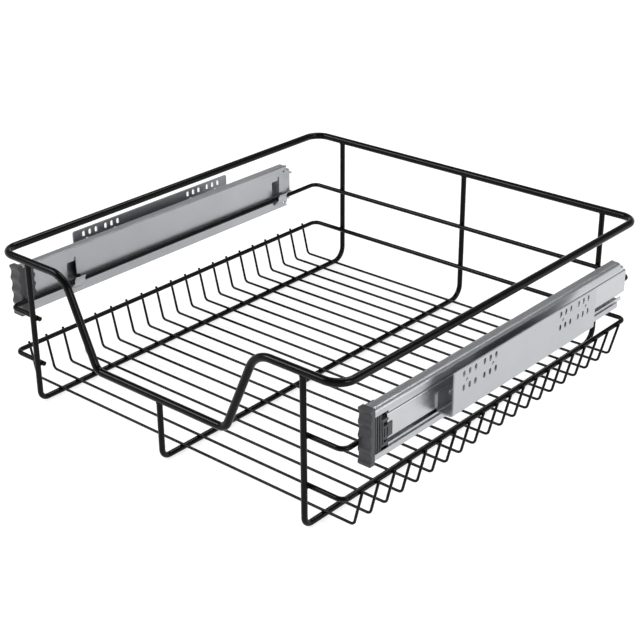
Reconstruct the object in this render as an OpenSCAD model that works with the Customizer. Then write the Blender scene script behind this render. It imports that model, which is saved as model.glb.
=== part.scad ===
// Pull-out cabinet basket: a welded wire basket that hangs in hooks lanced from
// two full-extension ball runners, each carried off the cabinet side by a bracket.
// X runs across the basket, Y from front to back, Z up. The origin is under the
// centre of the basket, on the underside of its floor wires.

/* [Basket] */
// Width of the top rim, between the centres of its side wires
basket_w = 450; // [430:1:464]
// Depth of the top rim, between the centres of its front and back wires
basket_d = 490; // [470:1:520]
// Height over all, from under the floor wires to the top of the rim
basket_h = 166; // [150:1:200]
// Diameter of the rim wire
rim_wire_d = 8; // [6:0.5:10]
// Bend radius of the rim's four corners, on the wire's centre
rim_bend_r = 18; // [10:1:30]
// Depth of the dip in the front of the rim
dip_depth = 91; // [40:1:100]
// Width of the bottom of the dip, corner to corner
dip_bottom_w = 166; // [120:1:180]
// Width of the dip at the rim's height, corner to corner
dip_top_w = 226; // [210:1:240]
// Bend radius where the rim turns down into the dip
dip_top_bend_r = 27; // [12:1:30]
// Bend radius at the bottom corners of the dip
dip_bottom_bend_r = 12; // [8:1:20]
// Diameter of the wire of the two rings
ring_wire_d = 5; // [4:0.5:6]
// How far the middle ring lies under the rim, centre to centre
middle_ring_drop = 64.5; // [58:0.5:68]
// How far the lower ring lies under the rim, centre to centre
lower_ring_drop = 115.5; // [104:0.5:124]
// Bend radius of the rings' corners, on the wire's centre
ring_bend_r = 8; // [6:1:14]
// How much narrower each ring is than the rim, at each side
ring_inset = 1; // [0:0.5:1.5]
// How far a ring's front end stands past the upright that it is welded to
ring_stub = 4; // [2:0.5:12]

/* [Long wires] */
// Diameter of the long wires that run under the basket and up both ends
long_wire_d = 6; // [5:0.5:7]
// Distance of the outer long wires from the middle one
long_wire_spacing = 183; // [150:1:190]
// Bend radius at the front foot of a long wire
long_front_bend_r = 9; // [7:1:14]
// Bend radius at the back foot of a long wire
long_back_bend_r = 16; // [8:1:24]

/* [Floor wires] */
// Diameter of the thin wires across the floor
floor_wire_d = 3; // [2.5:0.25:4]
// Number of floor wires
floor_wire_count = 20; // [12:1:22]
// Distance between neighbouring floor wires
floor_wire_pitch = 23.1; // [16:0.1:23.5]
// Width of the floor, between the corners where the thin wires turn up
floor_w = 438; // [424:1:442]
// Bend radius of those corners
floor_bend_r = 6; // [4:0.5:12]
// How far the thin wires' ends stand above the lower ring's centre
floor_wire_end = 6; // [3:0.5:8]

/* [Cabinet fixing] */
// Clear width between the cabinet's side panels
cabinet_w = 514; // [508:1:560]
// Sheet thickness of the wall brackets
bracket_t = 1.5; // [1.2:0.1:2]
// Length of a wall bracket
bracket_len = 240; // [230:1:300]
// How far a bracket's front end lies behind the front of the rim
bracket_setback = 118; // [100:1:140]
// Height of a bracket's wall plate
bracket_h = 45; // [40:0.5:50]
// How far the bracket's bottom lies under the runner's middle
bracket_drop = 15.5; // [13:0.5:15.5]
// Height of the bracket's inner wall, which the runner is riveted to
bracket_inner_h = 20; // [16:0.5:24]
// Inside bend radius of the bracket
bracket_bend_r = 2; // [1:0.5:4]
// Radius of the rounded top corners of the inner wall
wall_corner_r = 4; // [1:0.5:8]
// Radius of the rounded top corners of the wall plate
plate_corner_r = 2; // [1:0.5:6]
// Width of a screw slot in the wall plate
slot_w = 3.6; // [3:0.1:5]
// Length of a screw slot, end to end, upright
slot_len = 6.4; // [5.5:0.1:8]
// Distance between neighbouring slots of a group of three
slot_pitch = 9; // [8:0.5:10]
// Distance between the two groups of three at one end, the cabinet's hole spacing
slot_group_pitch = 32; // [31:0.5:33]
// Distance between the front and the back groups
slot_end_pitch = 160; // [150:1:176]
// Distance between the two rows of slots
slot_row_pitch = 14; // [12:0.5:16]
// Distance of the upper row of slots from the wall plate's top edge
slot_edge = 6; // [5:0.5:8]
// Diameter of the small round holes between the rows
pin_hole_d = 3.2; // [2:0.1:4]
// Diameter of the rivets that join a bracket to its runner
rivet_d = 4; // [3:0.5:5]
// Number of rivets in a bracket
rivet_count = 4; // [3:1:6]

/* [Runners] */
// Gap between the rim's centre line and the runner's inner face
runner_gap = 3; // [2.5:0.5:5]
// How far the runner's middle lies under the rim's centre
runner_drop = 54; // [50:0.5:56]
// Height of the drawer rail
rail_h = 53; // [51:0.5:56]
// Thickness of the runner, across the cabinet
rail_depth = 12.7; // [12.5:0.1:14]
// Sheet thickness of the drawer rail
rail_t = 1.2; // [1:0.1:1.3]
// Length of the drawer rail
rail_len = 410; // [400:1:440]
// How far the drawer rail's front end lies behind the front of the rim
rail_setback = 26; // [24:1:32]
// Height of the drawer rail's turned-in lips
lip_h = 8; // [7:0.5:8.5]
// Diameter of the bearing balls
ball_d = 5; // [4:0.25:5]
// Running clearance of the balls and between the rails
run_gap = 0.3; // [0.2:0.05:0.35]
// Sheet thickness of the middle rail
middle_rail_t = 1; // [0.8:0.1:1.1]
// Sheet thickness of the fixed rail
fixed_rail_t = 1.2; // [1:0.1:1.4]
// Length of the middle rail
middle_rail_len = 396; // [380:1:410]
// Length of the fixed rail
fixed_rail_len = 404; // [385:1:420]
// How far these two rails start behind the front of the rim
fixed_rail_setback = 47; // [46:1:56]
// Length of the two cut-outs in the middle rail's web
web_slot_len = 70; // [40:1:90]
// Height of those cut-outs
web_slot_h = 22; // [14:1:24]
// Number of balls in one row
ball_count = 8; // [5:1:9]
// Distance between neighbouring balls
ball_pitch = 20; // [12:1:20]
// Thickness of the ball cages
cage_t = 0.8; // [0.5:0.1:1]
// Length that the drawer rail travels out of the cabinet
travel = 390; // [300:5:390]

/* [Hooks and caps] */
// Width of a hook's tongue, along the rail
hook_w = 14; // [10:0.5:16]
// Distance of the front hook's window behind the drawer rail's front end
hook_front = 58; // [50:1:80]
// Distance of the back hook's window from the drawer rail's back end
hook_back = 27; // [27:1:60]
// How far a hook's tongue sits behind its window's front edge
hook_shift = 3; // [1:0.5:4]
// How far the upright part of a tongue reaches above the middle of the wire
hook_rise = 3; // [1.5:0.5:6]
// Length of the flared tip of a tongue
hook_flare = 3; // [1.5:0.5:4]
// Width of the window over a hook
window_w = 13; // [10:0.5:15]
// How far the window reaches above the middle of the wire
window_rise = 22; // [16:0.5:24]
// Thickness of the ribbed front cap, in front of the rail
cap_t = 6; // [4:0.5:8]
// How far the cap stands over the drawer rail at its top and bottom
cap_over = 1.5; // [1:0.25:2.5]
// Number of ridges on the cap's front
cap_ridges = 5; // [3:1:7]

/* [Hidden] */
$fn = 48;

black = [0.09, 0.09, 0.10];
charcoal = [0.20, 0.20, 0.21];
zinc = [0.74, 0.75, 0.77];
bright = [0.84, 0.85, 0.86];

// how much a bend draws the wire's diameter down
draw = 0.02;

// basket: heights and half widths of the wires' centres
floor_z = floor_wire_d / 2;
long_z = floor_wire_d + long_wire_d / 2;
rim_z = basket_h - rim_wire_d / 2;
middle_z = rim_z - middle_ring_drop;
lower_z = rim_z - lower_ring_drop;
half_w = basket_w / 2;
half_d = basket_d / 2;
ring_x = half_w - ring_inset;
ring_y = half_d - (long_wire_d + ring_wire_d) / 2;

// a floor wire's side leans out from the floor's corner until it lies on the
// outside of the lower ring, wire against wire
wire_touch = (ring_wire_d + floor_wire_d) / 2;
lean_run = ring_x - floor_w / 2;
lean_rise = lower_z - floor_z;
lean = asin(wire_touch / norm([lean_run, lean_rise])) + atan(lean_run / lean_rise);
end_x = floor_w / 2 + (lean_rise + floor_wire_end) * tan(lean);
end_z = lower_z + floor_wire_end;

// runner section: u is measured out from the basket, v up from the runner's middle
rail_x = half_w + runner_gap;
rail_z = rim_z - runner_drop;
rail_y = -half_d + rail_setback;
race_r = ball_d / 2 + run_gap;
outer_ball_u = rail_depth - rail_t - race_r;
outer_ball_v = rail_h / 2 - rail_t - race_r;
middle_u0 = rail_t + run_gap + 0.2;
middle_u1 = rail_depth - rail_t - run_gap;
middle_v = outer_ball_v - race_r;
inner_ball_v = middle_v - middle_rail_t - race_r;
inner_ball_u = (middle_u0 + middle_u1) / 2;
web_slot_edge = 12;
fixed_v = inner_ball_v - race_r;
fixed_u1 = middle_u1 - middle_rail_t - 0.2;
fixed_u0 = inner_ball_u - 2;
lip_v = rail_h / 2 - lip_h;
fixed_y = -half_d + fixed_rail_setback;

// ball cages: where they stand when the drawer is shut, so that both rails
// still hold them when it is fully out
cage_len = ball_pitch * ball_count;
inner_cage_y = fixed_y + (middle_rail_len - travel / 2 - cage_len) / 2 + travel / 4;
outer_cage_y = (fixed_y + rail_y + rail_len - 1.5 * travel - cage_len) / 2 + 0.75 * travel;

// brackets
wall_x = cabinet_w / 2;
bracket_x = rail_x + fixed_u1;
bracket_y = -half_d + bracket_setback;
bracket_bottom = rail_z - bracket_drop;
bracket_top = bracket_bottom + bracket_h;
slot_span = 2 * slot_pitch + slot_group_pitch + slot_end_pitch;
slot_y0 = bracket_y + (bracket_len - slot_span) / 2;
slot_z = bracket_top - slot_edge;

// hooks: the middle ring's wire lies on the tongue's slope, which leaves the web at
// 45 degrees, and the upright part stands clear of its inner side
wire_u = ring_x - rail_x;
wire_v = middle_z - rail_z;
slope_gap = ring_wire_d / 2 + run_gap + rail_t / 2;
root_v = wire_v - slope_gap * sqrt(2) - rail_t / 2 + wire_u;
tongue_u = wire_u - slope_gap - 0.1;

// ---------- wires ----------

function unit(v) = v / norm(v);
function turn(p, i) = acos(max(-1, min(1, unit(p[i] - p[i - 1]) * unit(p[i + 1] - p[i]))));
function trim(p, i, r) = i == 0 || i == len(p) - 1 ? 0 : r[i] * tan(turn(p, i) / 2);

// stands its children at a, with their Z axis along w
module along(a, w) {
  s = abs(w.z) > 0.9 ? [1, 0, 0] : [0, 0, 1];
  u = unit(cross(s, w));
  v = cross(w, u);
  multmatrix([[u.x, v.x, w.x, a.x], [u.y, v.y, w.y, a.y], [u.z, v.z, w.z, a.z], [0, 0, 0, 1]])
    children();
}

// a round wire through the points p, bent to the radii r on its centre line; a bend
// is drawn a hair thinner than the straight runs, which reach a hair into it
module wire(p, r, d) {
  n = len(p);
  union() {
    for (i = [0:n - 2]) {
      w = unit(p[i + 1] - p[i]);
      a = p[i] + w * (trim(p, i, r) - (i == 0 ? 0 : draw));
      b = p[i + 1] - w * (trim(p, i + 1, r) - (i == n - 2 ? 0 : draw));
      along(a, w) cylinder(d = d, h = norm(b - a));
    }
    for (i = [1:n - 2]) {
      u = unit(p[i] - p[i - 1]);
      w = unit(p[i + 1] - p[i]);
      q = unit(w - u * (u * w));
      c = p[i] - u * trim(p, i, r) + q * r[i];
      z = cross(-q, u);
      multmatrix([[-q.x, u.x, z.x, c.x], [-q.y, u.y, z.y, c.y], [-q.z, u.z, z.z, c.z], [0, 0, 0, 1]])
        rotate_extrude(angle = turn(p, i)) translate([r[i], 0]) circle(d = d - draw);
    }
  }
}

// the rim is one closed wire, with a dip in its front for a hand
module top_rim() color(black)
  wire([[0, half_d, rim_z], [-half_w, half_d, rim_z], [-half_w, -half_d, rim_z],
        [-dip_top_w / 2, -half_d, rim_z], [-dip_bottom_w / 2, -half_d, rim_z - dip_depth],
        [dip_bottom_w / 2, -half_d, rim_z - dip_depth], [dip_top_w / 2, -half_d, rim_z],
        [half_w, -half_d, rim_z], [half_w, half_d, rim_z], [0, half_d, rim_z]],
       [0, rim_bend_r, rim_bend_r, dip_top_bend_r, dip_bottom_bend_r,
        dip_bottom_bend_r, dip_top_bend_r, rim_bend_r, rim_bend_r, 0], rim_wire_d);

// a ring runs inside the uprights and ends just past the outer ones at the front
module ring(z) {
  e = long_wire_spacing - ring_stub;
  color(black)
    wire([[-e, -ring_y, z], [-ring_x, -ring_y, z], [-ring_x, ring_y, z],
          [ring_x, ring_y, z], [ring_x, -ring_y, z], [e, -ring_y, z]],
         [0, ring_bend_r, ring_bend_r, ring_bend_r, ring_bend_r, 0], ring_wire_d);
}
module middle_ring() ring(middle_z);
module lower_ring() ring(lower_z);

// a long wire rises to the underside of the rim, and its ends are coped to it
module long_wire(x, front_z) color(black) difference() {
  wire([[x, -half_d, front_z - 1], [x, -half_d, long_z], [x, half_d, long_z], [x, half_d, rim_z - 1]],
       [0, long_front_bend_r, long_back_bend_r, 0], long_wire_d);
  for (e = [[-half_d, front_z], [half_d, rim_z]])
    translate([x - long_wire_d, e.x, e.y]) rotate([0, 90, 0])
      cylinder(d = rim_wire_d, h = 2 * long_wire_d);
}
module left_long_wire() long_wire(-long_wire_spacing, rim_z);
module centre_long_wire() long_wire(0, rim_z - dip_depth);
module right_long_wire() long_wire(long_wire_spacing, rim_z);

// the thin wires cross under the long ones and end outside the lower ring
module floor_wires() color(black)
  for (i = [0:floor_wire_count - 1]) {
    y = (i - (floor_wire_count - 1) / 2) * floor_wire_pitch;
    wire([[-end_x, y, end_z], [-floor_w / 2, y, floor_z], [floor_w / 2, y, floor_z], [end_x, y, end_z]],
         [0, floor_bend_r, floor_bend_r, 0], floor_wire_d);
  }

// ---------- sheet sections ----------

// a box from a to b with radius ra on its left corners and rb on its right ones
module soft_box(a, b, ra, rb) {
  translate([a.x + ra, a.y]) square([b.x - a.x - ra - rb, b.y - a.y]);
  translate([a.x, a.y + ra]) square([ra, b.y - a.y - 2 * ra]);
  translate([b.x - rb, a.y + rb]) square([rb, b.y - a.y - 2 * rb]);
  for (y = [a.y + ra, b.y - ra]) translate([a.x + ra, y]) circle(ra);
  for (y = [a.y + rb, b.y - rb]) translate([b.x - rb, y]) circle(rb);
}

// draws its children in the runner's u and v and runs them from y0 to y1
module run(y0, y1) translate([rail_x, y1, rail_z]) rotate([90, 0, 0]) linear_extrude(y1 - y0) children();

// s = -1 turns the right-hand piece into the left-hand one
module hand(s) mirror([s < 0 ? 1 : 0, 0, 0]) children();

// ---------- drawer rail ----------

module drawer_section() difference() {
  soft_box([0, -rail_h / 2], [rail_depth, rail_h / 2], 2, race_r + rail_t);
  soft_box([rail_t, -rail_h / 2 + rail_t], [rail_depth - rail_t, rail_h / 2 - rail_t], 0.8, race_r);
  translate([rail_depth / 2, -lip_v]) square([rail_depth, 2 * lip_v]);
}

// a strip of sheet with its middle on the points p
module strip(p, t) {
  for (i = [0:len(p) - 2]) {
    w = p[i + 1] - p[i];
    translate(p[i]) rotate(atan2(w.y, w.x)) translate([0, -t / 2]) square([norm(w), t]);
  }
  for (q = p) translate(q) circle(d = t - draw);
}

// the tongue: its root in the web, the slope, the upright and the flared tip
module hook_section()
  strip([[rail_t / 2, root_v], [tongue_u, root_v + rail_t / 2 - tongue_u],
         [tongue_u, wire_v + hook_rise],
         [tongue_u - hook_flare / 2, wire_v + hook_rise + hook_flare * sqrt(3) / 2]], rail_t);

module drawer_rail(s) color(zinc) hand(s) {
  end = rail_y + rail_len;
  windows = [rail_y + hook_front, end - hook_back];
  web_cut = rail_t + 2;
  difference() {
    run(rail_y, end) drawer_section();
    for (y = windows) {
      // the hole that the tongue came out of, and the window over it with its slit
      translate([rail_x - 1, y + hook_shift, rail_z + root_v + 1.2])
        cube([web_cut, hook_w + 0.6, wire_v - root_v + 4]);
      translate([rail_x - 1, y, rail_z + wire_v + 2]) cube([web_cut, window_w, window_rise - 2]);
      translate([rail_x - 1, y + window_w - 2.5, rail_z + wire_v + window_rise - 1])
        cube([web_cut, 2.5, 5]);
    }
    // the rear corners: a relief at each bend, and a small hole
    for (v = [-1, 1]) {
      translate([rail_x - 1, end, rail_z + v * (rail_h / 2 - 3.6)]) rotate([0, 90, 0])
        cylinder(r = 1.6, h = web_cut);
      translate([rail_x - 1, end - 5.5, rail_z + v * (rail_h / 2 - 6)]) rotate([0, 90, 0])
        cylinder(r = 1.5, h = web_cut);
      // the flanges stop short of the web
      translate([rail_x + 2.2, end - 2, rail_z + v * rail_h / 2 - 9]) cube([rail_depth, 4, 18]);
    }
  }
  for (y = windows)
    run(y + hook_shift + 0.3, y + hook_shift + 0.3 + hook_w) hook_section();
}
module left_drawer_rail() drawer_rail(-1);
module right_drawer_rail() drawer_rail(1);

// ---------- middle rail ----------

module middle_section() difference() {
  soft_box([middle_u0, -middle_v], [middle_u1, middle_v], 2, 1.6);
  soft_box([middle_u0 + middle_rail_t, -middle_v + middle_rail_t],
           [middle_u1 - middle_rail_t, middle_v - middle_rail_t], 1, 0.6);
  translate([middle_u1 - middle_rail_t - 1, -inner_ball_v + 0.7])
    square([rail_depth, 2 * inner_ball_v - 1.4]);
}

// a long hole with round ends, through a web that stands at the runner's u
module web_slot(y0, y1, h, u, t) translate([rail_x + u - 1, 0, rail_z]) {
  translate([0, y0 + h / 2, -h / 2]) cube([t + 2, y1 - y0 - h, h]);
  for (y = [y0 + h / 2, y1 - h / 2]) translate([0, y, 0]) rotate([0, 90, 0]) cylinder(d = h, h = t + 2);
}

module middle_rail(s) color(bright) hand(s) difference() {
  run(fixed_y, fixed_y + middle_rail_len) middle_section();
  for (y = [fixed_y + web_slot_edge, fixed_y + middle_rail_len - web_slot_edge - web_slot_len])
    web_slot(y, y + web_slot_len, web_slot_h, middle_u0, middle_rail_t);
}
module left_middle_rail() middle_rail(-1);
module right_middle_rail() middle_rail(1);

// ---------- fixed rail ----------

module fixed_section() difference() {
  soft_box([fixed_u0 - 3, -fixed_v], [fixed_u1, fixed_v], 1, 1.8);
  soft_box([fixed_u0 - 4, -fixed_v + fixed_rail_t], [fixed_u1 - fixed_rail_t, fixed_v - fixed_rail_t], 0.5, 0.6);
  translate([fixed_u0 - 4, -rail_h]) square([4, 2 * rail_h]);
}
function rivet_y(i) = bracket_y + 20 + i * (bracket_len - 40) / (rivet_count - 1);
rivet_v = -bracket_drop + bracket_t + bracket_bend_r + (bracket_inner_h - bracket_t - bracket_bend_r) / 2;

module rivet_holes() for (i = [0:rivet_count - 1])
  translate([rail_x, rivet_y(i), rail_z + rivet_v]) rotate([0, 90, 0])
    cylinder(d = rivet_d + 0.2, h = rail_depth + 6);

module fixed_rail(s) color(bright) hand(s) difference() {
  run(fixed_y, fixed_y + fixed_rail_len) fixed_section();
  rivet_holes();
  // the notch that the catch's nose enters when the drawer is shut
  translate([rail_x + fixed_u1 - fixed_rail_t - 1, fixed_y - 1, rail_z + nose_v - notch_h / 2])
    cube([fixed_rail_t + 2, notch_len + 1, notch_h]);
}
module left_fixed_rail() fixed_rail(-1);
module right_fixed_rail() fixed_rail(1);

// ---------- wall bracket ----------

module bracket_section() {
  x0 = bracket_x - rail_x;
  x1 = wall_x - rail_x;
  z0 = -bracket_drop;
  ro = bracket_bend_r + bracket_t;
  top = bracket_h - bracket_drop;
  wall = z0 + bracket_inner_h;
  difference() {
    soft_box([x0, z0], [x1, top + 20], ro, ro);
    soft_box([x0 + bracket_t, z0 + bracket_t], [x1 - bracket_t, top + 30], bracket_bend_r, bracket_bend_r);
    translate([x0 - 1, top]) square([x1 - x0 + 2, 40]);
    translate([x0 - 1, wall]) square([bracket_t + 2, 80]);
  }
}

// what is cut off a sheet's corner at y, z to round it: sy and sz point to the sheet's inside
module corner_cut(x, t, y, z, r, sy, sz) translate([x - 1, y + sy * r, z + sz * r]) difference() {
  translate([0, sy > 0 ? -r - 1 : 0, sz > 0 ? -r - 1 : 0]) cube([t + 2, r + 1, r + 1]);
  translate([-1, 0, 0]) rotate([0, 90, 0]) cylinder(r = r, h = t + 4);
}

module wall_bracket(s) color(zinc) hand(s) difference() {
  run(bracket_y, bracket_y + bracket_len) bracket_section();
  rivet_holes();
  for (e = [0, slot_end_pitch], g = [0, slot_group_pitch], k = [0:2], r = [0, 1])
    translate([wall_x - bracket_t - 1, slot_y0 + e + g + k * slot_pitch, slot_z - r * slot_row_pitch]) {
      h = (slot_len - slot_w) / 2;
      for (z = [-h, h]) translate([0, 0, z]) rotate([0, 90, 0]) cylinder(d = slot_w, h = bracket_t + 2);
      translate([0, -slot_w / 2, -h]) cube([bracket_t + 2, slot_w, 2 * h]);
    }
  for (e = [0, slot_end_pitch], k = [0.5 * slot_pitch, 1.5 * slot_pitch + slot_group_pitch])
    translate([wall_x - bracket_t - 1, slot_y0 + e + k, slot_z - slot_row_pitch / 2])
      rotate([0, 90, 0]) cylinder(d = pin_hole_d, h = bracket_t + 2);
  for (e = [[bracket_y, 1], [bracket_y + bracket_len, -1]]) {
    corner_cut(bracket_x, bracket_t, e.x, bracket_bottom + bracket_inner_h, wall_corner_r, e.y, -1);
    corner_cut(wall_x - bracket_t, bracket_t, e.x, bracket_top, plate_corner_r, e.y, -1);
  }
}
module left_wall_bracket() wall_bracket(-1);
module right_wall_bracket() wall_bracket(1);

// a rivet: the shank, and a low head on each side of the two sheets
module bracket_rivets(s) color(bright) hand(s) {
  stack = fixed_rail_t + bracket_t;
  for (i = [0:rivet_count - 1])
    translate([bracket_x - fixed_rail_t, rivet_y(i), rail_z + rivet_v]) rotate([0, 90, 0]) {
      translate([0, 0, -0.9]) cylinder(d = rivet_d, h = stack + 1.8);
      translate([0, 0, -0.9]) cylinder(d1 = rivet_d + 1, d2 = rivet_d + 2.6, h = 0.9);
      translate([0, 0, stack]) cylinder(d1 = rivet_d + 2.6, d2 = rivet_d + 1, h = 0.9);
    }
}
module left_bracket_rivets() bracket_rivets(-1);
module right_bracket_rivets() bracket_rivets(1);

// ---------- ball cages ----------

// a strip above and one below, with a pocket for each ball
module cage(y0, u0, u1, ball_u, ball_v) color(zinc)
  for (v = [-1, 1]) difference() {
    translate([rail_x + u0, y0, rail_z + v * ball_v - cage_t / 2]) cube([u1 - u0, cage_len, cage_t]);
    for (i = [0:ball_count - 1])
      translate([rail_x + ball_u, y0 + (i + 0.5) * ball_pitch, rail_z + v * ball_v - 2])
        cylinder(d = ball_d + run_gap, h = 4);
  }
module balls(y0, ball_u, ball_v) color(bright)
  for (v = [-1, 1], i = [0:ball_count - 1])
    translate([rail_x + ball_u, y0 + (i + 0.5) * ball_pitch, rail_z + v * ball_v]) sphere(d = ball_d);

module inner_cage(s) hand(s)
  cage(inner_cage_y, middle_u0 + middle_rail_t + run_gap, middle_u1 - middle_rail_t - run_gap,
       inner_ball_u, inner_ball_v);
module outer_cage(s) hand(s)
  cage(outer_cage_y, rail_t + 2 * run_gap, outer_ball_u + ball_d / 2 - 0.8, outer_ball_u, outer_ball_v);
module left_inner_ball_cage() inner_cage(-1);
module right_inner_ball_cage() inner_cage(1);
module left_inner_balls() hand(-1) balls(inner_cage_y, inner_ball_u, inner_ball_v);
module right_inner_balls() balls(inner_cage_y, inner_ball_u, inner_ball_v);
module left_outer_ball_cage() outer_cage(-1);
module right_outer_ball_cage() outer_cage(1);
module left_outer_balls() hand(-1) balls(outer_cage_y, outer_ball_u, outer_ball_v);
module right_outer_balls() balls(outer_cage_y, outer_ball_u, outer_ball_v);

// ---------- front cap and catch ----------

// the cap's front, with hollows between its level ridges
cap_half = rail_h / 2 + cap_over;
ridge_pitch = (2 * cap_half - 3) / (cap_ridges - 1);
hollow_r = 0.7 * ridge_pitch;
plug_len = 11;

// the catch's nose and the notch that it enters
nose_v = -3;
notch_h = 14;
notch_len = 7;

module front_cap(s) color(charcoal) hand(s) {
  difference() {
    run(rail_y - cap_t, rail_y) soft_box([-0.8, -cap_half], [rail_depth + 0.8, cap_half], 1, 1);
    for (i = [0:cap_ridges - 2])
      translate([rail_x - 5, rail_y - cap_t + 1.6 - hollow_r,
                 rail_z + (i - (cap_ridges - 2) / 2) * ridge_pitch])
        rotate([0, 90, 0]) cylinder(r = hollow_r, h = rail_depth + 10);
  }
  // the plug that fills the end of the rail, with upright grooves
  difference() {
    run(rail_y, rail_y + plug_len)
      soft_box([rail_t + 0.1, -rail_h / 2 + rail_t + 0.1],
               [rail_depth - rail_t - 0.1, rail_h / 2 - rail_t - 0.1], 0.8, race_r - 0.1);
    for (k = [2, 5, 8])
      translate([rail_x + rail_depth - rail_t - 1.2, rail_y + k, rail_z - lip_v + 1.5])
        cube([3, 1.4, 2 * lip_v - 3]);
  }
  // the skirt over the rail's inner face, above the ring and below it
  difference() {
    union() {
      translate([rail_x - 1, rail_y, rail_z - 6]) cube([1, 15, rail_h / 2 + 5]);
      translate([rail_x - 1, rail_y, rail_z - rail_h / 2 + 1]) cube([1, 9, 10]);
    }
    for (v = [0, 1, 2])
      translate([rail_x - 3, rail_y + 15 + 4.4, rail_z - 1 + v * 10]) rotate([0, 90, 0])
        cylinder(r = 6, h = 5);
  }
}
module left_front_cap() front_cap(-1);
module right_front_cap() front_cap(1);

// the catch behind the cap: a bracket-shaped moulding whose nose lies in the fixed
// rail's notch when the drawer is shut
module catch_profile() {
  y0 = rail_y + plug_len;
  y1 = fixed_y - run_gap;
  translate([y0, -16]) square([3, 27]);
  for (v = [-16, 7.5]) {
    translate([y0, v]) square([y1 - y0 - 1.5, 3.5]);
    translate([y1 - 1.5, v + 1.75]) circle(1.5);
  }
  translate([y0, nose_v - 6.5]) square([y1 - y0, 13]);
}

module front_catch(s) color(charcoal) hand(s) difference() {
  union() {
    translate([rail_x + rail_t + 1, 0, rail_z]) rotate([90, 0, 90])
      linear_extrude(rail_depth - rail_t - 2) catch_profile();
    translate([rail_x + fixed_u1 - 4, fixed_y - 2, rail_z + nose_v - notch_h / 2 + run_gap])
      cube([4.6, notch_len - run_gap + 2, notch_h - 2 * run_gap]);
  }
  // the nose's slanted end, the groove behind it and the pockets in the outer face
  translate([rail_x + fixed_u1 - 6, fixed_y + notch_len - 2.5, rail_z + nose_v - notch_h / 2 - 1])
    rotate([-35, 0, 0]) translate([0, 0, -4]) cube([10, 8, 4]);
  for (y = [rail_y + plug_len + 3.6, fixed_y - 2.6])
    translate([rail_x + rail_depth - 2.6, y, rail_z + nose_v - 4.5]) cube([4, 1.4, 9]);
  translate([rail_x + rail_depth - 2, rail_y + plug_len + 1, rail_z - 14]) cube([3, 1, 23]);
}
module left_front_catch() front_catch(-1);
module right_front_catch() front_catch(1);

top_rim();
middle_ring();
lower_ring();
left_long_wire();
centre_long_wire();
right_long_wire();
floor_wires();
left_wall_bracket();
right_wall_bracket();
left_bracket_rivets();
right_bracket_rivets();
left_fixed_rail();
right_fixed_rail();
left_inner_ball_cage();
right_inner_ball_cage();
left_inner_balls();
right_inner_balls();
left_middle_rail();
right_middle_rail();
left_outer_ball_cage();
right_outer_ball_cage();
left_outer_balls();
right_outer_balls();
left_drawer_rail();
right_drawer_rail();
left_front_cap();
right_front_cap();
left_front_catch();
right_front_catch();
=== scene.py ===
"""Pull-out cabinet basket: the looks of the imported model, piece by piece, in the order in which it is made."""
import math

import bpy
import numpy as np
from mathutils import Matrix, Vector


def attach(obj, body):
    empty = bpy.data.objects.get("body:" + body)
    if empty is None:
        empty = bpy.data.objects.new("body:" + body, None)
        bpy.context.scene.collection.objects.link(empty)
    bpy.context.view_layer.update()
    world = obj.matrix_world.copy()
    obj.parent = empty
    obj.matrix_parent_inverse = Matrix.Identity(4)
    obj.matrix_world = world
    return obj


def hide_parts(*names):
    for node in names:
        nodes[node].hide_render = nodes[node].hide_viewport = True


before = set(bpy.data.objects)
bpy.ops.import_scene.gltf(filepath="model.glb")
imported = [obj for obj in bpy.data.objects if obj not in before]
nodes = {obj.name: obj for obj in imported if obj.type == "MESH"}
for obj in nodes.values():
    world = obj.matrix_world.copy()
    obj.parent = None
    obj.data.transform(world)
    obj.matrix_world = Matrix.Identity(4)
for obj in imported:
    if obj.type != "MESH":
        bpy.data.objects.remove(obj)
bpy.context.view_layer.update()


# ---------- camera ----------
# The place and lens were worked out from the straight wires in the photograph: the camera
# stands off the basket's right front corner, well above the rim.
AZIMUTH, ELEVATION, ROLL = math.radians(40.88), math.radians(25.65), math.radians(-0.34)
CAMERA_PLACE = (0.9000, -1.0506, 0.7283)
LENS, SENSOR = 80.80, 36.0
NEAREST, FARTHEST = 0.05, 20

back = Vector((math.sin(AZIMUTH) * math.cos(ELEVATION), -math.cos(AZIMUTH) * math.cos(ELEVATION),
               math.sin(ELEVATION)))
level_right = Vector((math.cos(AZIMUTH), math.sin(AZIMUTH), 0))
level_up = back.cross(level_right)
right = math.cos(ROLL) * level_right + math.sin(ROLL) * level_up
up = back.cross(right)
camera = bpy.data.objects.new("camera", bpy.data.cameras.new("camera"))
bpy.context.scene.collection.objects.link(camera)
camera.data.lens = LENS
camera.data.sensor_width = SENSOR
camera.data.sensor_fit = "HORIZONTAL"
camera.data.clip_start, camera.data.clip_end = NEAREST, FARTHEST
camera.matrix_world = Matrix((right, up, back)).transposed().to_4x4()
camera.location = CAMERA_PLACE
bpy.context.scene.camera = camera


# ---------- black wire ----------
# The basket is bent from drawn steel wire, welded, and powder coated black as one unit. The
# coat is glossy, with the faint orange peel and the soft speckle that baked powder leaves.
def new_group(name, inputs, outputs):
    """An empty node group with the named sockets; each is (name, socket type, default)."""
    group = bpy.data.node_groups.new(name, "ShaderNodeTree")
    for socket, kind, default in inputs:
        item = group.interface.new_socket(socket, in_out="INPUT", socket_type=kind)
        item.default_value = default
    for socket, kind in outputs:
        group.interface.new_socket(socket, in_out="OUTPUT", socket_type=kind)
    return group, group.nodes.new("NodeGroupInput"), group.nodes.new("NodeGroupOutput")


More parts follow.
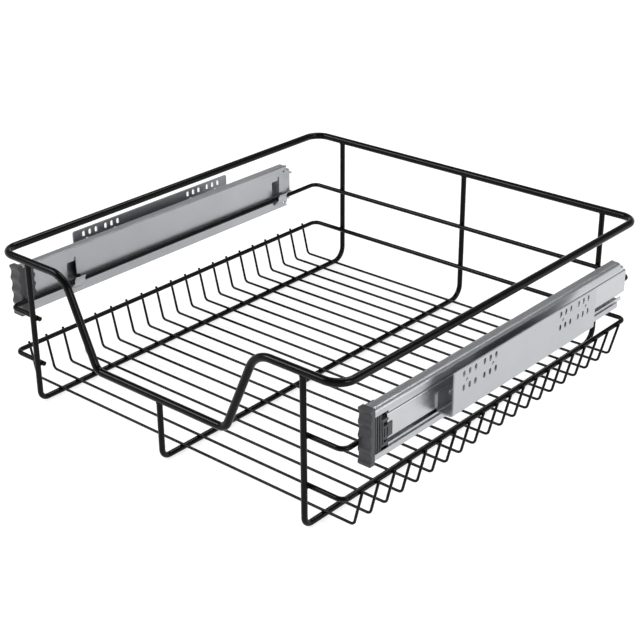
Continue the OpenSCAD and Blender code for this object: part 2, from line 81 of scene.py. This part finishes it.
def noise(tree, vector, scale, detail=3.0, rough=0.5):
    """A noise texture on the given vector."""
    node = tree.nodes.new("ShaderNodeTexNoise")
    node.inputs["Detail"].default_value = detail
    node.inputs["Roughness"].default_value = rough
    tree.links.new(vector, node.inputs["Vector"])
    if isinstance(scale, (int, float)):
        node.inputs["Scale"].default_value = scale
    else:
        tree.links.new(scale, node.inputs["Scale"])
    return node.outputs["Fac"]


NOISE_LOW, NOISE_HIGH = 0.3, 0.7


def spread(tree, value, low, high):
    """Maps a noise, whose values lie between about 0.3 and 0.7, onto low to high, which may be sockets."""
    node = tree.nodes.new("ShaderNodeMapRange")
    node.inputs["From Min"].default_value = NOISE_LOW
    node.inputs["From Max"].default_value = NOISE_HIGH
    tree.links.new(value, node.inputs["Value"])
    for socket, end in (("To Min", low), ("To Max", high)):
        if isinstance(end, (int, float)):
            node.inputs[socket].default_value = end
        else:
            tree.links.new(end, node.inputs[socket])
    return node.outputs["Result"]


def mix_colour(tree, mask, first, second):
    """Mixes two colours by a mask."""
    node = tree.nodes.new("ShaderNodeMix")
    node.data_type = "RGBA"
    tree.links.new(mask, node.inputs["Factor"])
    for socket, colour in (("A", first), ("B", second)):
        target = [s for s in node.inputs if s.name == socket and s.type == "RGBA"][0]
        if isinstance(colour, tuple):
            target.default_value = (*colour, 1)
        else:
            tree.links.new(colour, target)
    return [s for s in node.outputs if s.type == "RGBA"][0]


# the speckled surface of the powder coat and of the plastic: a fine grain in height, and soft
# patches that vary the roughness and the colour
speckle, speckle_in, speckle_out = new_group(
    "speckle",
    [("Vector", "NodeSocketVector", (0, 0, 0)), ("Grain Scale", "NodeSocketFloat", 900.0),
     ("Patch Scale", "NodeSocketFloat", 40.0), ("Low", "NodeSocketFloat", 0.3),
     ("High", "NodeSocketFloat", 0.4)],
    [("Height", "NodeSocketFloat"), ("Roughness", "NodeSocketFloat"), ("Patch", "NodeSocketFloat")])
speckle_grain = noise(speckle, speckle_in.outputs["Vector"], speckle_in.outputs["Grain Scale"], 2.0)
speckle_patch = noise(speckle, speckle_in.outputs["Vector"], speckle_in.outputs["Patch Scale"], 4.0, 0.6)
speckle.links.new(speckle_grain, speckle_out.inputs["Height"])
speckle.links.new(spread(speckle, speckle_patch, speckle_in.outputs["Low"], speckle_in.outputs["High"]),
                  speckle_out.inputs["Roughness"])
speckle.links.new(speckle_patch, speckle_out.inputs["Patch"])


def new_material(name):
    """A material with its Principled shader and a Texture Coordinate node."""
    material = bpy.data.materials.new(name)
    material.use_nodes = True
    tree = material.node_tree
    return material, tree, tree.nodes["Principled BSDF"], tree.nodes.new("ShaderNodeTexCoord")


def use_group(tree, group, vector, **values):
    """Places a node group in a material, with values for its inputs, underscores for spaces."""
    node = tree.nodes.new("ShaderNodeGroup")
    node.node_tree = group
    tree.links.new(vector, node.inputs["Vector"])
    for key, value in values.items():
        node.inputs[key.replace("_", " ")].default_value = value
    return node


def add_bump(tree, shader, height, strength, distance):
    """Feeds a height through a Bump node into the shader's normal."""
    bump = tree.nodes.new("ShaderNodeBump")
    bump.inputs["Strength"].default_value = strength
    bump.inputs["Distance"].default_value = distance
    tree.links.new(height, bump.inputs["Height"])
    tree.links.new(bump.outputs["Normal"], shader.inputs["Normal"])


def dress(node, material):
    """Gives a CAD node its one material."""
    mesh = nodes[node].data
    mesh.materials.clear()
    mesh.materials.append(material)


def black_powder_coat():
    """Near black in two tones that drift, rough between 0.18 and 0.27, with a shallow grain."""
    material, tree, shader, where = new_material("black_powder_coat")
    coat = use_group(tree, speckle, where.outputs["Object"], Grain_Scale=1100.0, Patch_Scale=60.0,
                     Low=0.18, High=0.27)
    colour = mix_colour(tree, coat.outputs["Patch"], (0.0012, 0.0012, 0.0013), (0.0035, 0.0035, 0.0038))
    tree.links.new(colour, shader.inputs["Base Color"])
    tree.links.new(coat.outputs["Roughness"], shader.inputs["Roughness"])
    shader.inputs["Specular IOR Level"].default_value = 0.13
    add_bump(tree, shader, coat.outputs["Height"], 0.25, 0.00004)
    return material


powder_coat = black_powder_coat()
for wire in ("middle_ring", "lower_ring", "left_long_wire", "centre_long_wire", "right_long_wire", "top_rim",
             "floor_wires"):
    dress(wire, powder_coat)


# ---------- top rim ----------
# One closed 8 mm wire, bent flat at its four corners and then down into the dip that a hand
# reaches through. Its ends are butt welded at the back, where the middle long wire meets it.
def bent(corners, radii, step=math.radians(6)):
    """The centre line of a bent wire. Each inner corner is rounded by an arc that is tangent to both of
    its runs: the arc's centre, less the inward direction times the radius and the cosine of the turn so
    far, plus the direction of the run before it times the radius and the sine."""
    corners = np.array(corners, float)
    line = [corners[:1]]
    for before, corner, after, radius in zip(corners[:-2], corners[1:-1], corners[2:], radii):
        along = (corner - before) / np.linalg.norm(corner - before)
        away = (after - corner) / np.linalg.norm(after - corner)
        turn = math.acos(along @ away)
        inward = away - along * (along @ away)
        inward /= np.linalg.norm(inward)
        centre = corner - along * radius * math.tan(turn / 2) + inward * radius
        angle = np.linspace(0, turn, max(4, math.ceil(turn / step) + 1))[:, None]
        line.append(centre - inward * radius * np.cos(angle) + along * radius * np.sin(angle))
    return np.concatenate(line + [corners[-1:]])


def tube(line, plane, quarter, radius, sides, closed=False):
    """The skin of a wire along a centre line. Each of its points gives a ring: the point, plus the radius
    times the cosine of an angle times the normal of the plane that the wire is bent in, plus the radius
    times the sine times the cross product of direction and normal. quarter adds a quarter turn to the
    angle where the wire goes over into another plane, so that the rings stay in line."""
    run = np.roll(line, -1, 0) - line if closed else np.diff(line, axis=0)
    run /= np.linalg.norm(run, axis=1)[:, None]
    if closed:
        ahead, behind = run, np.roll(run, 1, 0)
    else:
        ahead, behind = np.vstack([run, run[-1:]]), np.vstack([run[:1], run])
    direction = ahead + behind
    direction /= np.linalg.norm(direction, axis=1)[:, None]
    angle = (np.arange(sides) / sides * 2 * math.pi)[None, :] + quarter[:, None] * math.pi / 2
    radius = np.broadcast_to(radius, len(line))[:, None]
    first, second = plane[:, None, :], np.cross(direction, plane)[:, None, :]
    points = line[:, None, :] + (radius * np.cos(angle))[..., None] * first \
        + (radius * np.sin(angle))[..., None] * second
    place = np.arange(len(line) * sides).reshape(len(line), sides)
    here = place if closed else place[:-1]
    there = np.roll(place, -1, 0) if closed else place[1:]
    faces = np.stack([here, np.roll(here, -1, 1), np.roll(there, -1, 1), there], -1).reshape(-1, 4).tolist()
    if not closed:
        faces += [place[0, ::-1].tolist(), place[-1].tolist()]
    return points.reshape(-1, 3), faces


def surface(name, points, faces, material):
    """A smooth mesh piece from arrays of points and faces."""
    mesh = bpy.data.meshes.new(name)
    mesh.from_pydata(np.asarray(points).tolist(), [], faces)
    mesh.polygons.foreach_set("use_smooth", np.ones(len(mesh.polygons), bool))
    mesh.materials.append(material)
    piece = bpy.data.objects.new(name, mesh)
    bpy.context.scene.collection.objects.link(piece)
    return piece


RIM_WIRE, RIM_X, RIM_Y, RIM_Z = 0.008, 0.225, 0.245, 0.162
RIM_BEND, DIP_TOP_BEND, DIP_BOTTOM_BEND = 0.018, 0.027, 0.012
DIP_TOP, DIP_BOTTOM, DIP_DEPTH = 0.128, 0.0875, 0.091
RIM_SIDES = 32
FRONT_SLACK = 0.001

# from the middle of the back round to it again: the last point is dropped, as the tube is closed
rim_line = bent(
    [(0, RIM_Y, RIM_Z), (-RIM_X, RIM_Y, RIM_Z), (-RIM_X, -RIM_Y, RIM_Z), (-DIP_TOP, -RIM_Y, RIM_Z),
     (-DIP_BOTTOM, -RIM_Y, RIM_Z - DIP_DEPTH), (DIP_BOTTOM, -RIM_Y, RIM_Z - DIP_DEPTH),
     (DIP_TOP, -RIM_Y, RIM_Z), (RIM_X, -RIM_Y, RIM_Z), (RIM_X, RIM_Y, RIM_Z), (0, RIM_Y, RIM_Z)],
    [RIM_BEND, RIM_BEND, DIP_TOP_BEND, DIP_BOTTOM_BEND, DIP_BOTTOM_BEND, DIP_TOP_BEND, RIM_BEND, RIM_BEND])[:-1]
in_dip = (rim_line[:, 1] < FRONT_SLACK - RIM_Y) & (np.abs(rim_line[:, 0]) < RIM_X - 2 * RIM_BEND)
rim_plane = np.where(in_dip[:, None], [[0.0, 1.0, 0.0]], [[0.0, 0.0, 1.0]])
rim_points, rim_faces = tube(rim_line, rim_plane, in_dip.astype(float), RIM_WIRE / 2, RIM_SIDES, closed=True)
top_rim_wire = surface("top_rim_wire", rim_points, rim_faces, powder_coat)
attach(top_rim_wire, "basket")
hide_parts("top_rim")


# ---------- floor wires ----------
# Twenty thin wires lie across the three long ones and turn up at both sides. Each is resistance
# welded to every wire that it crosses, and its cropped ends stand against the lower ring's outside.
FLOOR_WIRE, FLOOR_COUNT, FLOOR_PITCH = 0.0028, 20, 0.0231
FLOOR_X, FLOOR_BEND, FLOOR_END = 0.219, 0.005, 0.0025
FLOOR_SIDES, FLOOR_BEND_STEP = 16, math.radians(12)
LONG_X, LONG_TOP = 0.183, 0.009
RING_X, RING_WIRE, RING_Z = 0.224, 0.005, 0.0465
# a cropped end narrows over its last 0.6 mm: steps along it, and the wire's width at the first three
CROP_DEPTH = 0.0006
CROP_STEPS = np.array([0.0, 0.35, 0.8, 1.0])
CROP_WIDTHS = np.array([0.55, 0.85, 0.97])

floor_z = LONG_TOP + FLOOR_WIRE / 2
floor_y = (np.arange(FLOOR_COUNT) - (FLOOR_COUNT - 1) / 2) * FLOOR_PITCH
# a leg starts at the floor wire's end and leans out until it touches the ring from outside
leg_run, leg_rise = RING_X - FLOOR_X, RING_Z - floor_z
leg_reach, leg_gap = math.hypot(leg_run, leg_rise), (RING_WIRE + FLOOR_WIRE) / 2
leg_lean = math.atan(leg_run / leg_rise) + math.asin(leg_gap / leg_reach)
tip_x, tip_z = FLOOR_X + (leg_rise + FLOOR_END) * math.tan(leg_lean), RING_Z + FLOOR_END
floor_line = bent([(-tip_x, 0, tip_z), (-FLOOR_X, 0, floor_z), (FLOOR_X, 0, floor_z), (tip_x, 0, tip_z)],
                  [FLOOR_BEND, FLOOR_BEND], FLOOR_BEND_STEP)
crop = CROP_STEPS[:, None] * CROP_DEPTH
floor_line = np.concatenate([floor_line[0] + crop * [math.sin(leg_lean), 0, -math.cos(leg_lean)],
                             floor_line[1:-1],
                             floor_line[-1] + crop[::-1] * [-math.sin(leg_lean), 0, -math.cos(leg_lean)]])
floor_radius = np.full(len(floor_line), FLOOR_WIRE / 2)
floor_radius[:len(CROP_WIDTHS)] *= CROP_WIDTHS
floor_radius[-len(CROP_WIDTHS):] *= CROP_WIDTHS[::-1]
along_y = np.array([0.0, 1.0, 0.0])
one_wire, one_skin = tube(floor_line, np.tile(along_y, (len(floor_line), 1)), np.zeros(len(floor_line)),
                          floor_radius, FLOOR_SIDES)
all_wires = (one_wire[None] + floor_y[:, None, None] * along_y).reshape(-1, 3)
all_skins = [[corner + wire * len(one_wire) for corner in face]
             for wire in range(FLOOR_COUNT) for face in one_skin]
thin_floor_wires = surface("thin_floor_wires", all_wires, all_skins, powder_coat)
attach(thin_floor_wires, "basket")
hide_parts("floor_wires")


# ---------- welds ----------
# Where two wires cross, the welding press sinks them a hair into each other and squeezes a
# small bead out around the joint. The long wires' ends have a fillet under the rim.
BEAD_SIDES = 10
BEAD_LATITUDES = (-89.0, -50.0, -18.0, 18.0, 50.0, 89.0)


def beads(name, centres, half_sizes, material):
    """Small rounded beads: a grid of longitude and latitude gives a unit ball, as the cosine and sine of
    the longitude times the cosine of the latitude, and the latitude's sine; each bead is that ball times
    its half sizes, moved to its centre."""
    longitude = (np.arange(BEAD_SIDES) / BEAD_SIDES * 2 * math.pi)[None, :]
    latitude = np.radians(BEAD_LATITUDES)[:, None]
    ball = np.stack([np.cos(longitude) * np.cos(latitude), np.sin(longitude) * np.cos(latitude),
                     np.sin(latitude) + 0 * longitude], -1).reshape(-1, 3)
    place = np.arange(len(ball)).reshape(len(BEAD_LATITUDES), BEAD_SIDES)
    low, high = place[:-1], place[1:]
    skin = np.stack([low, np.roll(low, -1, 1), np.roll(high, -1, 1), high], -1).reshape(-1, 4).tolist()
    skin += [place[0, ::-1].tolist(), place[-1].tolist()]
    centres = np.array(centres, float)
    points = (ball[None] * np.array(half_sizes) + centres[:, None, :]).reshape(-1, 3)
    faces = [[corner + bead * len(ball) for corner in face] for bead in range(len(centres)) for face in skin]
    return surface(name, points, faces, material)


# half sizes of the beads, across, along and up
FLOOR_BEAD, SIDE_BEAD = (0.0016, 0.0015, 0.0005), (0.0006, 0.0015, 0.0016)
RING_BEAD, RIM_FILLET = (0.0030, 0.0011, 0.0027), (0.0037, 0.0037, 0.0017)
FILLET_DROP = 0.0037
LONG_WIRE, MIDDLE_Z = 0.006, 0.0975

long_xs = (-LONG_X, 0.0, LONG_X)
touch_x = RING_X + math.cos(leg_lean) * RING_WIRE / 2
upright_y = RIM_Y - LONG_WIRE / 2
fillet_z, dip_fillet_z = RIM_Z - FILLET_DROP, RIM_Z - DIP_DEPTH - FILLET_DROP
floor_welds = beads("floor_wire_welds", [(x, y, LONG_TOP) for x in long_xs for y in floor_y],
                    FLOOR_BEAD, powder_coat)
side_welds = beads("side_wire_welds", [(side * touch_x, y, RING_Z) for side in (-1, 1) for y in floor_y],
                   SIDE_BEAD, powder_coat)
ring_welds = beads("ring_welds", [(x, upright_y, z) for x in long_xs for z in (RING_Z, MIDDLE_Z)]
                   + [(x, -upright_y, z) for x in (-LONG_X, LONG_X) for z in (RING_Z, MIDDLE_Z)],
                   RING_BEAD, powder_coat)
rim_welds = beads("rim_welds", [(x, RIM_Y, fillet_z) for x in long_xs]
                  + [(-LONG_X, -RIM_Y, fillet_z), (LONG_X, -RIM_Y, fillet_z), (0.0, -RIM_Y, dip_fillet_z)],
                  RIM_FILLET, powder_coat)
for weld in (floor_welds, side_welds, ring_welds, rim_welds):
    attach(weld, "basket")


# ---------- rails, brackets, rivets, cages and balls ----------
# The runner's three rails, its ball cages and the wall bracket are rolled and pressed from
# zinc-plated steel strip, and riveted. The rolls leave a fine grain along the strip, which is
# along Y here. The balls are hardened steel, ground and polished.
GRAIN_STRETCH, GRAIN_SCALE, CLOUD_SCALE = (1.0, 0.02, 1.0), 1800.0, 22.0

grain, grain_in, grain_out = new_group(
    "rolled_grain",
    [("Vector", "NodeSocketVector", (0, 0, 0)), ("Low", "NodeSocketFloat", 0.25),
     ("High", "NodeSocketFloat", 0.4)],
    [("Height", "NodeSocketFloat"), ("Roughness", "NodeSocketFloat"), ("Cloud", "NodeSocketFloat")])
stretch = grain.nodes.new("ShaderNodeMapping")
stretch.inputs["Scale"].default_value = GRAIN_STRETCH
grain.links.new(grain_in.outputs["Vector"], stretch.inputs["Vector"])
lines = noise(grain, stretch.outputs["Vector"], GRAIN_SCALE, 3.0, 0.6)
cloud = noise(grain, grain_in.outputs["Vector"], CLOUD_SCALE, 5.0, 0.55)
grain.links.new(lines, grain_out.inputs["Height"])
grain.links.new(spread(grain, lines, grain_in.outputs["Low"], grain_in.outputs["High"]),
                grain_out.inputs["Roughness"])
grain.links.new(cloud, grain_out.inputs["Cloud"])


def steel(name, dark, light, low, high):
    """Bare or zinc-plated steel: two greys that drift, and a roughness between low and high along the grain."""
    material, tree, shader, where = new_material(name)
    sheet = use_group(tree, grain, where.outputs["Object"], Low=low, High=high)
    tree.links.new(mix_colour(tree, sheet.outputs["Cloud"], dark, light), shader.inputs["Base Color"])
    tree.links.new(sheet.outputs["Roughness"], shader.inputs["Roughness"])
    shader.inputs["Metallic"].default_value = 1.0
    add_bump(tree, shader, sheet.outputs["Height"], 0.12, 0.00002)
    return material


zinc_sheet = steel("zinc_sheet", (0.44, 0.45, 0.47), (0.52, 0.53, 0.55), low=0.34, high=0.46)
bright_zinc = steel("bright_zinc", (0.50, 0.51, 0.53), (0.58, 0.59, 0.60), low=0.30, high=0.42)
cage_steel = steel("cage_steel", (0.48, 0.49, 0.50), (0.56, 0.57, 0.58), low=0.28, high=0.40)
ball_steel = steel("ball_steel", (0.74, 0.74, 0.75), (0.78, 0.78, 0.79), low=0.06, high=0.10)
for side in ("left", "right"):
    for node in ("wall_bracket", "drawer_rail"):
        dress(f"{side}_{node}", zinc_sheet)
    for node in ("fixed_rail", "middle_rail", "bracket_rivets"):
        dress(f"{side}_{node}", bright_zinc)
    for node in ("inner_ball_cage", "outer_ball_cage"):
        dress(f"{side}_{node}", cage_steel)
    for node in ("inner_balls", "outer_balls"):
        dress(f"{side}_{node}", ball_steel)


# ---------- front caps and catches ----------
# Moulded in dark grey plastic and pushed into the drawer rail's front end. The mould's
# spark-eroded face leaves a fine, dull grain.
def charcoal_plastic():
    """Two dark greys that drift, rough between 0.36 and 0.48, with the mould's grain."""
    material, tree, shader, where = new_material("charcoal_plastic")
    grained = use_group(tree, speckle, where.outputs["Object"], Grain_Scale=2600.0, Patch_Scale=90.0,
                        Low=0.36, High=0.48)
    colour = mix_colour(tree, grained.outputs["Patch"], (0.042, 0.043, 0.047), (0.062, 0.063, 0.068))
    tree.links.new(colour, shader.inputs["Base Color"])
    tree.links.new(grained.outputs["Roughness"], shader.inputs["Roughness"])
    shader.inputs["Specular IOR Level"].default_value = 0.45
    add_bump(tree, shader, grained.outputs["Height"], 0.35, 0.00005)
    return material


plastic = charcoal_plastic()
for side in ("left", "right"):
    dress(f"{side}_front_cap", plastic)
    dress(f"{side}_front_catch", plastic)


# ---------- floor and light ----------
# A plain white floor, four soft lamps, and an even room that is white at its horizon and
# grey overhead, so that the steel and the black wires have something to mirror.
FLOOR_GREY, FLOOR_LIFT = 0.42, 0.78
FLOOR_SIZE, FLOOR_TOP = 60, 0.0024


def floor_white():
    """A grey floor that keeps the basket's shadow, lifted to white for the camera and for mirror rays."""
    material, tree, shader, _ = new_material("floor_white")
    shader.inputs["Base Color"].default_value = (FLOOR_GREY, FLOOR_GREY, FLOOR_GREY, 1)
    shader.inputs["Roughness"].default_value = 0.9
    shader.inputs["Specular IOR Level"].default_value = 0.0
    path = tree.nodes.new("ShaderNodeLightPath")
    seen = path.outputs["Is Camera Ray"]
    for ray in ("Is Glossy Ray", "Is Transmission Ray"):
        either = tree.nodes.new("ShaderNodeMath")
        either.operation = "MAXIMUM"
        tree.links.new(seen, either.inputs[0])
        tree.links.new(path.outputs[ray], either.inputs[1])
        seen = either.outputs[0]
    lift = tree.nodes.new("ShaderNodeMath")
    lift.operation = "MULTIPLY"
    lift.inputs[1].default_value = FLOOR_LIFT
    tree.links.new(seen, lift.inputs[0])
    shader.inputs["Emission Color"].default_value = (1, 1, 1, 1)
    tree.links.new(lift.outputs[0], shader.inputs["Emission Strength"])
    return material


# the dressed basket stands on its long wires, whose underside is 3 mm up
bpy.ops.mesh.primitive_plane_add(size=FLOOR_SIZE, location=(0, 0, FLOOR_TOP))
floor = bpy.context.object
floor.name = "floor"
floor.data.materials.append(floor_white())

# height of the look, as a sine, and brightness there
HORIZON, OVERHEAD = (0.10, 1.0), (0.42, 0.20)
world = bpy.data.worlds.new("studio")
bpy.context.scene.world = world
world.use_nodes = True
tree = world.node_tree
background = tree.nodes["Background"]
direction = tree.nodes.new("ShaderNodeTexCoord")
parts = tree.nodes.new("ShaderNodeSeparateXYZ")
tree.links.new(direction.outputs["Generated"], parts.inputs["Vector"])
level = tree.nodes.new("ShaderNodeMapRange")
level.interpolation_type = "SMOOTHSTEP"
level.inputs["From Min"].default_value, level.inputs["To Min"].default_value = HORIZON
level.inputs["From Max"].default_value, level.inputs["To Max"].default_value = OVERHEAD
tree.links.new(parts.outputs["Z"], level.inputs["Value"])
background.inputs["Color"].default_value = (1, 1, 1, 1)
tree.links.new(level.outputs["Result"], background.inputs["Strength"])


BASKET_MIDDLE = (0, 0, 0.1)


def soft_lamp(name, place, size, power):
    """A square area lamp at place that looks at the basket's middle."""
    data = bpy.data.lights.new(name, "AREA")
    data.size = size
    data.energy = power
    lamp = bpy.data.objects.new(name, data)
    bpy.context.scene.collection.objects.link(lamp)
    lamp.location = place
    lamp.rotation_euler = (Vector(BASKET_MIDDLE) - Vector(place)).to_track_quat("-Z", "Y").to_euler()
    lamp.visible_camera = False


soft_lamp("key", (-1.6, -1.4, 1.9), size=1.0, power=34)
soft_lamp("fill", (2.3, -0.3, 1.3), size=0.9, power=20)
soft_lamp("top", (-0.2, 1.2, 2.5), size=1.2, power=26)
soft_lamp("side", (1.5, 0.7, 0.32), size=0.6, power=2.5)
bpy.context.scene.view_settings.view_transform = "Standard"
